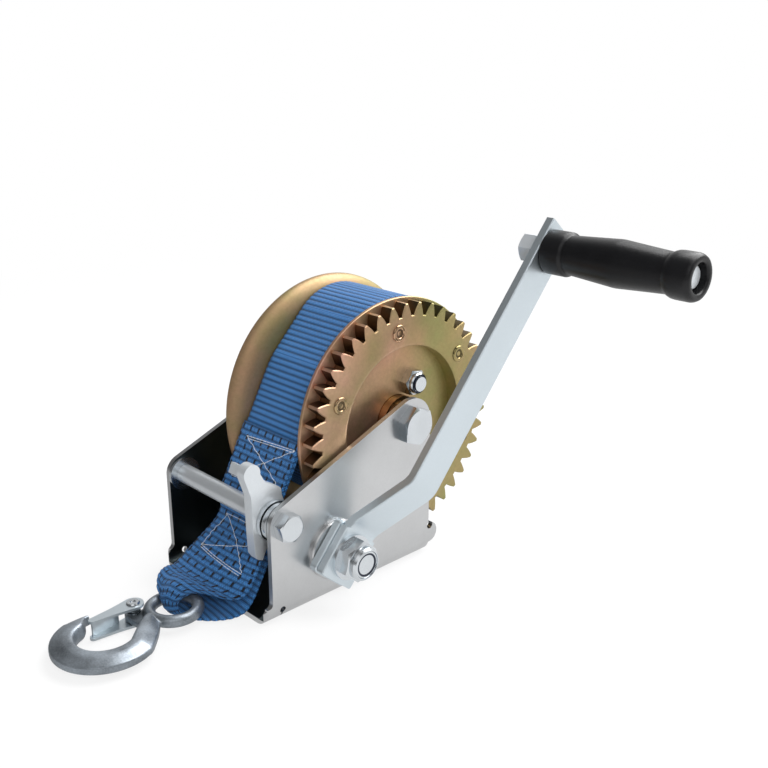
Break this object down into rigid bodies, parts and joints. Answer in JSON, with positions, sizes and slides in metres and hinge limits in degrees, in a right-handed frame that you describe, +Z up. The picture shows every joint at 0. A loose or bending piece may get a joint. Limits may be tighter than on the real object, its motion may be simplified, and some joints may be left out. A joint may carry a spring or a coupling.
{
  "type": "boat trailer winch",
  "caption": "Hand-cranked strap winch: folded steel frame, geared drum wound with webbing, pinion crank with a turning grip, pawl, and a snap hook on the strap.",
  "frame": {"origin": "middle of the four base holes, on the underside of the base", "axes": "+X along the shafts towards the crank, +Y towards the back of the frame, +Z up"},
  "size_m": [0.2224, 0.2721, 0.1855],
  "materials": {
    "sheet_zinc": "clear zinc plated sheet, satin",
    "hardware_zinc": "bright zinc plated fasteners",
    "crank_zinc": "bluish zinc plated bar, satin",
    "yellow_zinc": "yellow iridescent zinc plated steel",
    "webbing": "woven polyester webbing",
    "forged_zinc": "forged and zinc plated steel",
    "grip_plastic": "black moulded plastic, semi-gloss"
  },
  "bodies": {
    "root": {"frame": "sheet_zinc", "tie_bolt": "hardware_zinc", "tie_nut": "hardware_zinc", "tie_spacer_tube": "hardware_zinc", "tie_washers": "hardware_zinc", "axle_bolt": "hardware_zinc", "axle_nut": "hardware_zinc", "axle_sleeve": "sheet_zinc", "axle_spacer": "sheet_zinc", "pinion_bush_right": "sheet_zinc", "pinion_bush_left": "sheet_zinc", "strap_tail": "webbing", "strap_outer_turn": "webbing"},
    "drum": {"drum_hub_tube": "yellow_zinc", "rolled_flange": "yellow_zinc", "gear_flange": "yellow_zinc", "gear_ring": "yellow_zinc", "gear_rivets": "yellow_zinc", "anchor_bolt": "hardware_zinc", "anchor_nut": "hardware_zinc", "anchor_sleeve": "sheet_zinc", "strap_core": "webbing"},
    "crank": {"pinion_shaft": "hardware_zinc", "shaft_clip": "hardware_zinc", "crank_hub_plate": "crank_zinc", "crank_arm": "crank_zinc", "crank_washer": "hardware_zinc", "crank_nut": "hardware_zinc", "grip_bolt": "hardware_zinc", "grip_retainer": "hardware_zinc"},
    "grip": {"handle_grip": "grip_plastic"},
    "pawl": {"pawl": "crank_zinc"},
    "hook": {"hook": "forged_zinc", "latch_rivet": "hardware_zinc", "latch_spring": "sheet_zinc"},
    "latch": {"hook_latch": "crank_zinc"}
  },
  "joints": [
    {"name": "drum_spin", "type": "hinge", "parent": "root", "child": "drum", "pos_m": [0, 0.0394, 0.0806], "axis": [1, 0, 0], "continuous": true},
    {"name": "crank_spin", "type": "hinge", "parent": "root", "child": "crank", "pos_m": [0, -0.01609, 0.02794], "axis": [1, 0, 0], "continuous": true},
    {"name": "grip_spin", "type": "hinge", "parent": "crank", "child": "grip", "pos_m": [0, 0.10675, 0.16827], "axis": [1, 0, 0], "continuous": true},
    {"name": "pawl_swing", "type": "hinge", "parent": "root", "child": "pawl", "pos_m": [0, -0.0474, 0.0517], "axis": [1, 0, 0], "range_deg": [-10, 44]},
    {"name": "hook_lift", "type": "hinge", "parent": "root", "child": "hook", "pos_m": [0.006, -0.076, 0.006], "axis": [-1, 0, 0], "range_deg": [0, 50]},
    {"name": "latch_swing", "type": "hinge", "parent": "hook", "child": "latch", "pos_m": [-0.004, -0.1045, 0.006], "axis": [0, 0, 1], "range_deg": [0, 38], "stiffness_Nm_per_rad": 0.02, "springref_deg": -17.19}
  ],
  "couplings": [
    {"joint": "crank_spin", "follows": "drum_spin", "ratio": -4.1}
  ]
}
